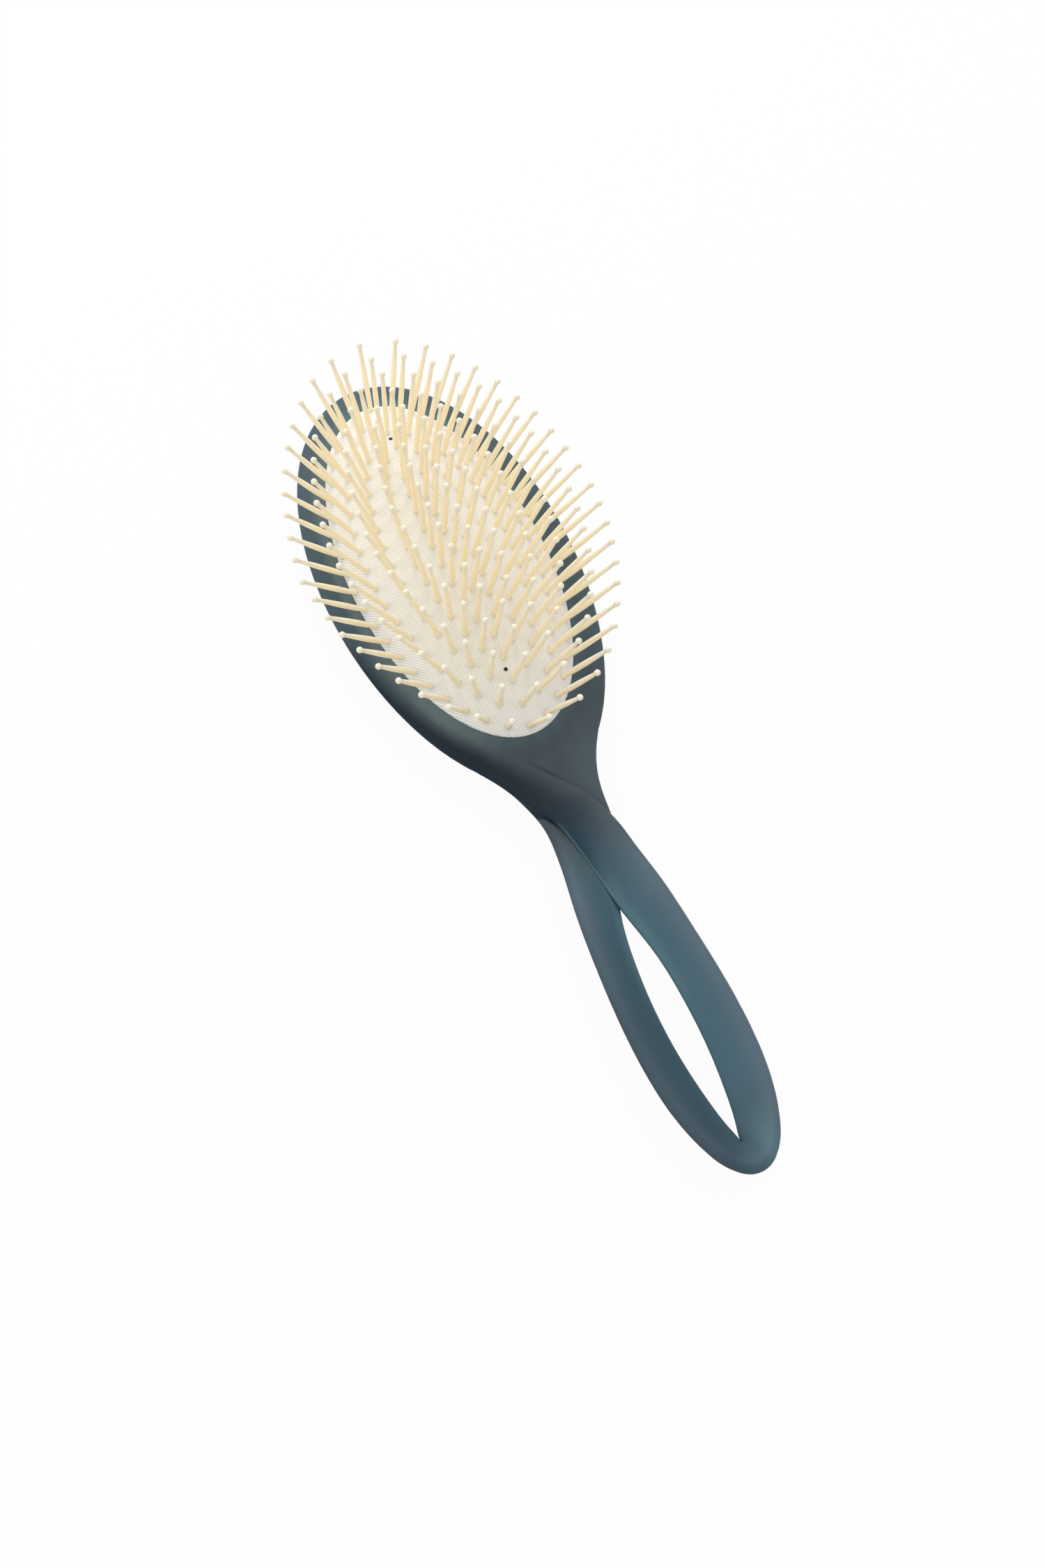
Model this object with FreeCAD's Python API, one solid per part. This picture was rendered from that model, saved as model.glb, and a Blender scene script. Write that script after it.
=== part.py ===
import FreeCAD, Part

import math
import os

from FreeCAD import Matrix, Placement, Rotation, Vector

# Oval hair brush: one moulded frame with a looped handle, a rubber air cushion
# and rings of ball-tipped pins. The head's tip points to +Y, the pins to +Z.
# Heights are first taken from the plane of the cushion's visible edge.

# Air cushion
cushion_half_width = 26.5
cushion_half_length = 53.7
cushion_centre_y = 0.3
cushion_height = 11.2
cushion_power = 0.77
cushion_wall = 1.4
bead_width = 1.4
bead_top = 1.1
bead_height = 1.8
fit_gap = 0.15
chamber_depth = 8.2
vent_diameter = 0.9
vent_from_tip = 15.9
vent_from_end = 16.2
vent_x = (-0.2, -0.6)
vent_y = (cushion_centre_y + cushion_half_length - vent_from_tip,
          cushion_centre_y - cushion_half_length + vent_from_end)

# Head of the frame, round the cushion
rim_width = 7.1
rim_width_tip = 7.6
rim_width_neck = 13.2
head_half_width = cushion_half_width + rim_width
head_half_length = cushion_half_length + (rim_width_tip + rim_width_neck) / 2.0
head_centre_y = cushion_centre_y - (rim_width_neck - rim_width_tip) / 2.0
head_egg = 0.05
floor_thickness = 2.8
head_depth = chamber_depth + floor_thickness
edge_drop = 1.65
back_flat_margin_across = 18.6
back_flat_margin_along = 26.1

# Pins
ring_counts = (44, 38, 32, 26, 20)
outer_ring_margin_across = 0.9
outer_ring_margin_along = 1.8
second_ring_step_across = 4.2
second_ring_step_along = 5.3
ring_pitch_across = 5.6
ring_pitch_along = 6.1
ring_pointedness = 1.09
row_count = 6
row_half_length = 14.9
pin_length = 19.7
pin_lean_across = 0.87
pin_lean_along = 0.76
pin_base_diameter = 1.1
pin_belly_diameter = 1.45
pin_belly_share = 0.38
pin_neck_diameter = 0.9
pin_ball_diameter = 1.55
pin_head_diameter = 2.0
pin_head_thickness = 0.5
pin_gap = 0.05

# Handle loop, from the handle end of the head down
head_end_y = head_centre_y - head_half_length
neck_join_y = head_end_y + 8.6
neck_y = head_end_y - 13.4
neck_half_width = 8.75
neck_flare = 1.95
slit_top_y = head_end_y - 37.6
slit_length = 62.8
slit_end_y = slit_top_y - slit_length
slit_half_width = 4.0
handle_widest_y = slit_top_y - 0.55 * slit_length
handle_half_width = 13.7
end_width = 8.5
handle_end_y = slit_end_y - end_width
low_edge_thickness = 2.2
lip_thickness = 4.2
low_round = 0.6
high_round = 3.1
crossing_step = 1.5
lip_height = 3.6
lip_height_end = 6.6
slit_edge_height = -1.6
slit_end_height = 0.6

OVAL_POINTS = 40


def smooth(t):
    """Ease from 0 to 1."""
    t = min(max(t, 0.0), 1.0)
    return t * t * (3.0 - 2.0 * t)


def between(low, high, t):
    return low + (high - low) * t


def closed_curve(points):
    """A smooth closed curve through the points, with evenly spaced parameters."""
    curve = Part.BSplineCurve()
    count = len(points)
    curve.interpolate(Points=points, PeriodicFlag=True, Parameters=[k / count for k in range(count + 1)])
    return curve


def drawn_curve(points):
    """A smooth closed curve that the points pull, which never swings past them."""
    curve = Part.BSplineCurve()
    count = len(points)
    curve.buildFromPolesMultsKnots(points, [1] * (count + 1), list(range(count + 1)), True, 3)
    return curve


def skin(sections, make_curve, mirror_end=False):
    """A solid through flat closed sections that have the same number of points.

    With mirror_end the last section lies in the plane x = 0 and the skin meets it squarely.
    """
    curves = [make_curve(points) for points in sections]
    middles = [sum(points, Vector()) * (1.0 / len(points)) for points in sections]
    reach = [0.0]
    for one, two, first, second in zip(middles, middles[1:], sections, sections[1:]):
        spread = sum((q - p).Length for p, q in zip(first, second)) / len(first)
        reach.append(reach[-1] + max((two - one).Length, spread))
    share = [r / reach[-1] for r in reach]
    rows = []
    for poles in zip(*[curve.getPoles() for curve in curves]):
        along = Part.BSplineCurve()
        if mirror_end:
            start_speed = (poles[1] - poles[0]) * (1.0 / share[1])
            end_speed = Vector(-poles[-2].x * 1.4 / (1.0 - share[-2]), 0, 0)
            along.interpolate(Points=list(poles), Parameters=share, Scale=False,
                              InitialTangent=start_speed, FinalTangent=end_speed)
        else:
            along.interpolate(Points=list(poles), Parameters=share)
        rows.append(along)
    surface = Part.BSplineSurface()
    surface.buildFromPolesMultsKnots(
        [row.getPoles() for row in rows],
        curves[0].getMultiplicities(), rows[0].getMultiplicities(),
        curves[0].getKnots(), rows[0].getKnots(), True, False,
        curves[0].Degree, rows[0].Degree)
    side = surface.toShape()
    caps = [Part.Face(Part.Wire([curves[k].toShape()])) for k in (0, -1)]
    shell = Part.makeShell([side] + caps)
    shell.sewShape()
    solid = Part.Solid(shell)
    if solid.Volume < 0:
        solid.reverse()
    return solid


def head_point(inset, angle, z):
    """A point on the head's egg, or inside it, clockwise from the tip."""
    across = (head_half_width - inset) * math.sin(angle)
    across *= 1.0 + head_egg * math.cos(angle)
    along = head_centre_y + (head_half_length - inset) * math.cos(angle)
    return Vector(across, along, z)


def head_oval(inset, z):
    step = 2.0 * math.pi / OVAL_POINTS
    return [head_point(inset, k * step, z) for k in range(OVAL_POINTS)]


def ellipse_wire(half_width, half_length, z):
    centre = Vector(0, cushion_centre_y, z)
    end = Vector(0, cushion_centre_y + half_length, z)
    side = Vector(half_width, cushion_centre_y, z)
    return Part.Wire([Part.Ellipse(end, side, centre).toShape()])


def ellipse_disc(half_width, half_length, low, high):
    face = Part.Face(ellipse_wire(half_width, half_length, low))
    return face.extrude(Vector(0, 0, high - low))


def handle_half(y):
    """Half the width of the outline below the head."""
    if y > neck_join_y:
        cosine = (y - head_centre_y) / head_half_length
        sine = math.sqrt(max(0.0, 1.0 - cosine * cosine))
        return head_half_width * sine * (1.0 + head_egg * cosine)
    if y > neck_y:
        join_half = handle_half(neck_join_y + 1e-6)
        share = (y - neck_y) / (neck_join_y - neck_y)
        return between(neck_half_width, join_half, share ** neck_flare)
    if y > handle_widest_y:
        share = (neck_y - y) / (neck_y - handle_widest_y)
        return between(neck_half_width, handle_half_width, math.sin(share * math.pi / 2) ** 1.3)
    share = (handle_widest_y - y) / (handle_widest_y - handle_end_y)
    return handle_half_width * math.sqrt(max(0.0, 1.0 - share ** 2.2))


def slit_half(y):
    share = (slit_top_y - y) / (slit_top_y - slit_end_y)
    return slit_half_width * math.sin(math.pi * min(max(share, 0.0), 1.0)) ** 0.75


def outer_height(y):
    """Height of the middle of the lip along an arm."""
    share = (slit_top_y - y) / (slit_top_y - handle_end_y)
    return between(lip_height, lip_height_end, max(0.0, share))


def slit_height(y):
    share = min(max((slit_top_y - y) / slit_length, 0.0), 1.0)
    return between(slit_edge_height, slit_end_height, share ** 1.5)


# Stations of the two ribbons over the neck, first the low edge and then the high edge.
# Each edge: share of the outline's half width, share of the way from the head's end to
# the slit, height of its middle, half thickness, width of its round.
UPPER_RIBBON = (
    ((-0.995, -0.55, -1.76, 1.60, 4.2), (-0.70, -0.53, -1.90, 1.60, 2.0)),
    ((-0.998, -0.28, -1.68, 1.62, 4.2), (-0.50, -0.30, -1.74, 1.62, 2.0)),
    ((-0.985, -0.08, -1.57, 1.58, 3.9), (-0.26, -0.17, -1.60, 1.62, 2.0)),
    ((-0.920, 0.10, -1.12, 1.45, 2.4), (0.05, -0.02, -1.04, 1.65, 2.2)),
    ((-0.700, 0.235, -0.50, 1.30, 1.2), (0.40, 0.105, -0.20, 1.75, 2.4)),
    ((-0.490, 0.38, 0.00, 1.15, 0.7), (0.75, 0.27, 0.85, 1.85, 2.6)),
    ((-0.325, 0.555, 0.10, 1.10, 0.6), (0.97, 0.455, 1.85, 1.95, 2.8)),
    ((-0.155, 0.77, -0.25, 1.10, 0.6), (1.00, 0.66, 2.75, 2.05, 3.0)),
)
LOWER_RIBBON = (
    ((-0.985, -0.44, -2.10, 1.60, 4.2), (0.96, -0.44, -2.60, 1.60, 4.0)),
    ((-0.998, -0.25, -1.76, 1.62, 4.2), (0.96, -0.25, -2.10, 1.60, 4.0)),
    ((-1.010, -0.07, -1.70, 1.64, 4.2), (0.95, -0.07, -2.10, 1.60, 4.0)),
    ((-1.035, 0.09, -1.85, 1.65, 3.8), (0.92, 0.07, -2.55, 1.50, 3.6)),
    ((-1.080, 0.25, -2.05, 1.65, 3.2), (0.88, 0.20, -2.55, 1.50, 3.0)),
    ((-1.010, 0.42, -2.25, 1.65, 2.6), (0.87, 0.335, -2.00, 1.65, 3.0)),
    ((-0.720, 0.58, -2.55, 1.50, 1.8), (0.89, 0.47, -1.00, 1.80, 3.0)),
    ((-0.330, 0.79, -2.75, 1.25, 1.1), (0.94, 0.68, 0.95, 2.00, 3.0)),
)

# Shares of the slit's length at which an arm has a station, and how far the station's
# high edge is set back towards the head, as a share of the end's width
ARM_STATIONS = ((0.0, 0.40), (0.2, 0.25), (0.42, 0.0), (0.64, -0.18), (0.82, -0.36),
                (0.93, -0.60), (0.985, -0.85))


def ribbon_stations(crossing, lift):
    """Low and high edge of a ribbon that starts on the head's left side.

    It leaves the head, crosses the neck to the right outline and becomes the right arm.
    """
    low_half = low_edge_thickness / 2.0
    high_half = lip_thickness / 2.0
    neck_length = head_end_y - slit_top_y
    stations = []
    for edges in crossing:
        station = []
        for share, down, height, half, width in edges:
            y = head_end_y - neck_length * down
            station.append((Vector(share * handle_half(y), y, height), half, width))
        stations.append(station)
    for share, back in ARM_STATIONS:
        low_y = slit_top_y - slit_length * share
        high_y = low_y + back * end_width
        raised = lift * (1.0 - share) ** 2
        low = Vector(slit_half(low_y), low_y, slit_height(low_y) + raised)
        high = Vector(handle_half(high_y), high_y, outer_height(high_y) + raised)
        stations.append(((low, low_half, low_round), (high, high_half, high_round)))
    low = Vector(0, slit_end_y, slit_height(slit_end_y))
    high = Vector(0, handle_end_y, outer_height(handle_end_y))
    stations.append(((low, low_half, low_round), (high, high_half, high_round)))
    return stations


# A round edge: share of its width from the edge inwards, and share of the half thickness
EDGE_ROUND = ((0.12, 0.55), (0.45, 0.9), (1.0, 1.0))


def ribbon_section(station, forward):
    """A wedge with a crisp edge at the low side and a thick round lip at the high side."""
    (low, low_half, low_width), (high, high_half, high_width) = station
    across = high - low
    width = across.Length
    upright = across.cross(forward)
    if upright.z < 0:
        upright = upright * -1.0
    across.normalize()
    upright.normalize()

    def at(distance, tall):
        half = between(low_half, high_half, min(max(distance / width, 0.0), 1.0))
        return low + across * distance + upright * (tall * half)

    flat = width - high_width - low_width
    line = [(share * low_width, tall) for share, tall in EDGE_ROUND]
    line += [(low_width + share * flat, 1.0) for share in (0.25, 0.5, 0.75)]
    line += [(width - share * high_width, tall) for share, tall in reversed(EDGE_ROUND)]
    top = [at(distance, tall) for distance, tall in line]
    bottom = [at(distance, -tall) for distance, tall in reversed(line)]
    return [at(-0.06 * low_width, 0.0)] + top + [at(width + 0.06 * high_width, 0.0)] + bottom


def make_ribbon(crossing, lift, mirrored):
    stations = ribbon_stations(crossing, lift)
    if mirrored:
        stations = [[(Vector(-p.x, p.y, p.z), half, width) for p, half, width in station]
                    for station in stations]
    middles = [(low[0] + high[0]) * 0.5 for low, high in stations]
    sections = []
    for k, station in enumerate(stations):
        if k == len(stations) - 1:
            forward = Vector(1, 0, 0)
        else:
            forward = middles[k + 1] - middles[max(k - 1, 0)]
        sections.append(ribbon_section(station, forward))
    return skin(sections, drawn_curve, mirror_end=True)


def make_head():
    levels = (
        (0.0, None),
        (0.15 * head_depth, 9.6),
        (0.38 * head_depth, 4.4),
        (0.62 * head_depth, 1.6),
        (0.76 * head_depth, 0.4),
        (head_depth - edge_drop, 0.0),
        (head_depth - 0.75, 0.5),
        (head_depth - 0.2, 1.9),
        (head_depth, 4.2),
    )
    sections = []
    for level, inset in levels:
        z = level - head_depth
        if inset is None:
            step = 2.0 * math.pi / OVAL_POINTS
            flat_half_width = head_half_width - back_flat_margin_across
            flat_half_length = head_half_length - back_flat_margin_along
            points = [Vector(flat_half_width * math.sin(k * step),
                             head_centre_y + flat_half_length * math.cos(k * step), z)
                      for k in range(OVAL_POINTS)]
            sections.append(points)
        else:
            sections.append(head_oval(inset, z))
    return skin(sections, closed_curve)


def make_frame():
    frame = make_head().fuse([make_ribbon(UPPER_RIBBON, crossing_step / 2.0, False),
                              make_ribbon(LOWER_RIBBON, -crossing_step / 2.0, True)])
    lip = ellipse_disc(cushion_half_width, cushion_half_length, -bead_top, 5.0)
    groove_half_width = cushion_half_width + bead_width + fit_gap
    groove_half_length = cushion_half_length + bead_width + fit_gap
    groove = ellipse_disc(groove_half_width, groove_half_length,
                          -bead_top - bead_height - fit_gap, -bead_top)
    chamber = ellipse_disc(cushion_half_width - bead_width, cushion_half_length - bead_width,
                           -chamber_depth, -bead_top)
    return frame.cut([lip, groove, chamber])


def dome_height(x, y, shrink=0.0):
    rx = x / (cushion_half_width - shrink)
    ry = (y - cushion_centre_y) / (cushion_half_length - shrink)
    return (cushion_height - shrink) * max(1e-6, 1.0 - rx * rx - ry * ry) ** cushion_power


def dome_solid(half_width, half_length, height, skirt):
    """A stretched solid of revolution: unit radius, then scaled to the oval."""
    rim = 0.0
    points = []
    for k in range(13):
        radius = math.sin(math.pi / 2.0 * k / 12.0)
        points.append(Vector(radius, 0, height * (1.0 - radius * radius) ** cushion_power))
    profile = Part.BSplineCurve()
    profile.interpolate(Points=points)
    edges = [profile.toShape(),
             Part.makeLine(points[-1], Vector(1, 0, -skirt)),
             Part.makeLine(Vector(1, 0, -skirt), Vector(0, 0, -skirt)),
             Part.makeLine(Vector(0, 0, -skirt), points[0])]
    solid = Part.Face(Part.Wire(edges)).revolve(Vector(0, 0, 0), Vector(0, 0, 1), 360)
    stretch = Matrix()
    stretch.A11 = half_width
    stretch.A22 = half_length
    solid = solid.transformGeometry(stretch)
    solid.translate(Vector(0, cushion_centre_y, rim))
    return solid


def make_cushion():
    width = cushion_half_width - fit_gap
    length = cushion_half_length - fit_gap
    bottom = bead_top + bead_height
    body = dome_solid(width, length, cushion_height, bottom)
    bead = ellipse_disc(cushion_half_width + bead_width, cushion_half_length + bead_width,
                        -bottom, -bead_top - fit_gap)
    hollow = dome_solid(width - cushion_wall, length - cushion_wall,
                        cushion_height - cushion_wall, bottom + 1.0)
    cushion = body.fuse(bead).cut(hollow)
    vents = [Part.makeCylinder(vent_diameter / 2.0, cushion_height + 2.0, Vector(x, y, 0))
             for x, y in zip(vent_x, vent_y)]
    holes = [pin_hole(x, y) for places in pin_groups().values() for x, y in places]
    return cushion.cut(vents + holes)


def ring_oval(half_width, half_length, angle):
    s = math.sin(angle)
    c = math.cos(angle)
    x = half_width * math.copysign(abs(s) ** ring_pointedness, s)
    y = cushion_centre_y + half_length * math.copysign(abs(c) ** ring_pointedness, c)
    return x, y


def ring_places(half_width, half_length, count):
    """Places at even spacing round the oval, clockwise from the tip."""
    steps = 720
    line = [ring_oval(half_width, half_length, 2.0 * math.pi * k / steps) for k in range(steps + 1)]
    lengths = [0.0]
    for (x0, y0), (x1, y1) in zip(line, line[1:]):
        lengths.append(lengths[-1] + math.hypot(x1 - x0, y1 - y0))
    places = []
    k = 0
    for n in range(count):
        goal = lengths[-1] * n / count
        while lengths[k + 1] < goal:
            k += 1
        share = (goal - lengths[k]) / (lengths[k + 1] - lengths[k])
        places.append((between(line[k][0], line[k + 1][0], share),
                       between(line[k][1], line[k + 1][1], share)))
    return places


def pin_axis(x, y):
    h = 0.05
    slope_x = (dome_height(x + h, y) - dome_height(x - h, y)) / (2 * h)
    slope_y = (dome_height(x, y + h) - dome_height(x, y - h)) / (2 * h)
    axis = Vector(-pin_lean_across * slope_x, -pin_lean_along * slope_y, 1.0)
    axis.normalize()
    return axis


def root_depth(foot, axis):
    """Depth along the pin at which its flat head clears the inside of the cushion."""
    side = axis.cross(Vector(0, 1, 0))
    side.normalize()
    other = axis.cross(side)
    radius = pin_head_diameter / 2.0 + pin_gap
    depth = cushion_wall
    clear = False
    while not clear:
        depth += 0.05
        clear = True
        for k in range(12):
            angle = math.pi * k / 6.0
            spot = foot - axis * depth + side * (radius * math.cos(angle)) + other * (radius * math.sin(angle))
            across = spot.x / (cushion_half_width - fit_gap - cushion_wall - pin_gap)
            along = (spot.y - cushion_centre_y) / (cushion_half_length - fit_gap - cushion_wall - pin_gap)
            inside = across * across + along * along < 1.0
            if not inside or spot.z > dome_height(spot.x, spot.y, fit_gap + cushion_wall) - pin_gap:
                clear = False
    return depth


def make_pin(x, y):
    """One pin, turned about its axis: flat head, shank, belly, neck and ball."""
    foot = Vector(x, y, dome_height(x, y))
    axis = pin_axis(x, y)
    depth = root_depth(foot, axis)
    base = pin_base_diameter / 2.0
    belly = pin_belly_diameter / 2.0
    neck = pin_neck_diameter / 2.0
    ball = pin_ball_diameter / 2.0
    head = pin_head_diameter / 2.0
    neck_height = pin_length - math.sqrt(ball * ball - neck * neck)
    corners = [Vector(0, 0, -depth - pin_head_thickness),
               Vector(head, 0, -depth - pin_head_thickness),
               Vector(head, 0, -depth),
               Vector(base, 0, -depth),
               Vector(base, 0, 0)]
    for share, radius in ((0.45, between(base, belly, 0.7)), (1.0, belly)):
        corners.append(Vector(radius, 0, pin_length * pin_belly_share * share))
    corners.append(Vector(between(neck, belly, 0.45), 0, between(pin_length * pin_belly_share, neck_height, 0.6)))
    corners.append(Vector(neck, 0, neck_height))
    edges = [Part.makeLine(p, q) for p, q in zip(corners, corners[1:])]
    tip = Vector(0, 0, pin_length + ball)
    edges.append(Part.Arc(corners[-1], Vector(ball, 0, pin_length), tip).toShape())
    edges.append(Part.makeLine(tip, corners[0]))
    pin = Part.Face(Part.Wire(edges)).revolve(Vector(0, 0, 0), Vector(0, 0, 1), 360)
    pin.Placement = Placement(foot, Rotation(Vector(0, 0, 1), axis))
    return pin


def pin_hole(x, y):
    """The hole for one pin through the cushion's wall."""
    foot = Vector(x, y, dome_height(x, y))
    axis = pin_axis(x, y)
    reach = root_depth(foot, axis) + 1.0
    return Part.makeCylinder(pin_base_diameter / 2.0 + pin_gap, reach + 2.0, foot - axis * reach, axis)


def pin_groups():
    """Pins by ring and side: tip, right, handle end and left."""
    groups = {}
    sides = ("tip", "right", "handle_end", "left")
    for ring, count in enumerate(ring_counts):
        half_width = cushion_half_width - outer_ring_margin_across
        half_length = cushion_half_length - outer_ring_margin_along
        if ring > 0:
            half_width -= second_ring_step_across + ring_pitch_across * (ring - 1)
            half_length -= second_ring_step_along + ring_pitch_along * (ring - 1)
        for n, place in enumerate(ring_places(half_width, half_length, count)):
            quarter = int(((n + 0.5) / count * 4.0 + 0.5) % 4.0)
            name = "pins_ring_%d_%s" % (ring + 1, sides[quarter])
            groups.setdefault(name, []).append(place)
    spacing = 2.0 * row_half_length / (row_count - 1)
    groups["pins_centre_row"] = [(0.0, cushion_centre_y + row_half_length - spacing * n)
                                 for n in range(row_count)]
    return groups


def main():
    nodes = {"frame": make_frame(), "cushion": make_cushion()}
    for name, places in pin_groups().items():
        nodes[name] = Part.makeCompound([make_pin(x, y) for x, y in places])
    whole = Part.makeCompound(list(nodes.values())).optimalBoundingBox(False, False)
    print(whole)
    move = Vector(0, -(whole.YMin + whole.YMax) / 2.0, -whole.ZMin)
    os.makedirs("parts", exist_ok=True)
    for name, shape in nodes.items():
        shape.translate(move)
        shape.exportStep(os.path.join("parts", name + ".step"))
        print(name, len(shape.Solids), shape.isValid(), round(shape.Volume, 1))
    print("moved by", move)


main()
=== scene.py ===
"""Looks of an oval pin brush with a looped handle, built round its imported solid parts."""

import math

import bmesh
import bpy
from mathutils import Matrix, Vector


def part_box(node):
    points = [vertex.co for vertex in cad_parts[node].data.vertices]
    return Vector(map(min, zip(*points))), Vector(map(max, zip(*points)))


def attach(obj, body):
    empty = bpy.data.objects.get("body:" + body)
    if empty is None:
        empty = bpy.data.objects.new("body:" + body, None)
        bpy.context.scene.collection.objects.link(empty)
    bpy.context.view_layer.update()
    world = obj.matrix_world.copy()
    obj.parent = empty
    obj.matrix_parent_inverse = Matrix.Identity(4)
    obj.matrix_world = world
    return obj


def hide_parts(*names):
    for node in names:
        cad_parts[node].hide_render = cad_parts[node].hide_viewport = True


bl_info = {
    "name": "Oval Pin Brush",
    "version": (1, 0, 0),
    "blender": (4, 5, 0),
    "location": "View3D > Sidebar > Brush",
    "description": "Builds the looks of an oval pin brush with an air cushion",
    "category": "Object",
}

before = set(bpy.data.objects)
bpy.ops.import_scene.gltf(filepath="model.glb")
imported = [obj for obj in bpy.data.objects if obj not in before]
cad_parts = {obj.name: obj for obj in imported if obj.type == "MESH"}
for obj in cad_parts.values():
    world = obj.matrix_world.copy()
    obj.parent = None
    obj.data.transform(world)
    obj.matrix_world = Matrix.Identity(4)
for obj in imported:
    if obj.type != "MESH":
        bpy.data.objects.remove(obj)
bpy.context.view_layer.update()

MM = 0.001
BODY = "root"

# Sizes that the solid parts share, in millimetres
CUSHION_HEIGHT = 11.2
CUSHION_POWER = 0.77
CUSHION_SIZES = (26.5, 53.7)
RING_COUNTS = (44, 38, 32, 26, 20)
OUTER_RING = (25.6, 51.9)
SECOND_RING = (21.4, 46.6)
RING_PITCH = (5.6, 6.1)
RING_POINTEDNESS = 1.09
ROW_COUNT = 6
ROW_HALF_LENGTH = 14.9
VENTS = ((-0.2, 38.1), (-0.6, -37.2))
SLIT_HALF_WIDTH = 4.0
FIT_GAP = 0.15

# The bead under the cushion's edge: height, and how far it stands out
BEAD_PROFILE = (
    (-0.6, 0.0), (-1.25, 0.0), (-1.25, 1.4), (-1.5, 1.5), (-2.6, 1.5), (-2.85, 1.4), (-2.85, 0.0),
)

# A pin's mesh: its sides, its rows up the shank as shares of the length, how sharply it thins above the
# swell, and its rows round the ball in degrees
PIN_SIDES = 8
SHANK_ROWS = (0.2, 0.38, 0.6, 0.8, 0.92)
SHANK_POWER = 1.2
BALL_ROWS = (-28.0, 0.0, 28.0, 56.0)

# Width of the head's rim round the cushion
RIM_REACH = 6.6

# Places down the brush, from the middle of the cushion towards the handle's end: the slit, where the
# arms begin, where the upper ribbon's edge leaves the head, where the ribbons cross, the bend in that
# edge just past the crossing, and the crease beside the upper ribbon
SLIT = (104.2, 167.0)
ARM = (78.0, 108.0)
EDGE_TOP = 36.0
CROSSING = 72.7
CROSSING_BEND = 79.0
CREASE = (59.2, 85.2)

# How far the upper ribbon's edge lies from the middle line at its top, at the crossing and in the bend,
# and the crease at its top and at its end
EDGE_TOP_X = -28.0
CROSSING_X = -5.7
BEND_X = -2.7
CREASE_TOP_X = -14.35
CREASE_END_X = 9.5

# Height and place of the cushion's edge in the frame
cushion_low, cushion_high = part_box("cushion")
CENTRE_Y = (cushion_low.y + cushion_high.y) / 2.0
EDGE_Z = cushion_high.z - CUSHION_HEIGHT * MM
CUSHION_CENTRE_Y = 0.3
ORIGIN = Vector((0.0, CENTRE_Y - CUSHION_CENTRE_Y * MM, EDGE_Z))


def srgb(red, green, blue):
    """A linear colour from 0 to 255 screen values."""
    return tuple((v / 255.0) ** 2.2 for v in (red, green, blue))


def place(x, y, z):
    """A point in millimetres from the middle of the cushion's edge, as a place in the frame."""
    return ORIGIN + Vector((x, y, z)) * MM


def between(low, high, share):
    return low + (high - low) * share


class Number:
    """A shader value that Python's arithmetic can be done on."""

    def __init__(self, maker, socket):
        self.maker = maker
        self.socket = socket

    def _math(self, operation, first, second):
        return self.maker.math(operation, first, second)

    def __add__(self, other):
        return self._math("ADD", self, other)

    def __sub__(self, other):
        return self._math("SUBTRACT", self, other)

    def __mul__(self, other):
        return self._math("MULTIPLY", self, other)

    def __truediv__(self, other):
        return self._math("DIVIDE", self, other)

    def __pow__(self, other):
        return self._math("POWER", self, other)

    def __radd__(self, other):
        return self._math("ADD", other, self)

    def __rsub__(self, other):
        return self._math("SUBTRACT", other, self)

    def __rmul__(self, other):
        return self._math("MULTIPLY", other, self)

    def __rtruediv__(self, other):
        return self._math("DIVIDE", other, self)

    def __rpow__(self, other):
        return self._math("POWER", other, self)


class Nodes:
    """A node tree, and the one way to add a node to it."""

    def __init__(self, tree):
        self.tree = tree

    def node(self, kind, settings=None, inputs=None):
        """Add a node, set its settings first and then its sockets."""
        made = self.tree.nodes.new(kind)
        for name, value in (settings or {}).items():
            setattr(made, name, value)
        for name, value in (inputs or {}).items():
            socket = made.inputs[name]
            if isinstance(value, Number):
                value = value.socket
            if isinstance(value, bpy.types.NodeSocket):
                self.tree.links.new(value, socket)
            elif socket.type == "RGBA" and len(value) == 3:
                socket.default_value = (*value, 1.0)
            else:
                socket.default_value = value
        return made


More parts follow.
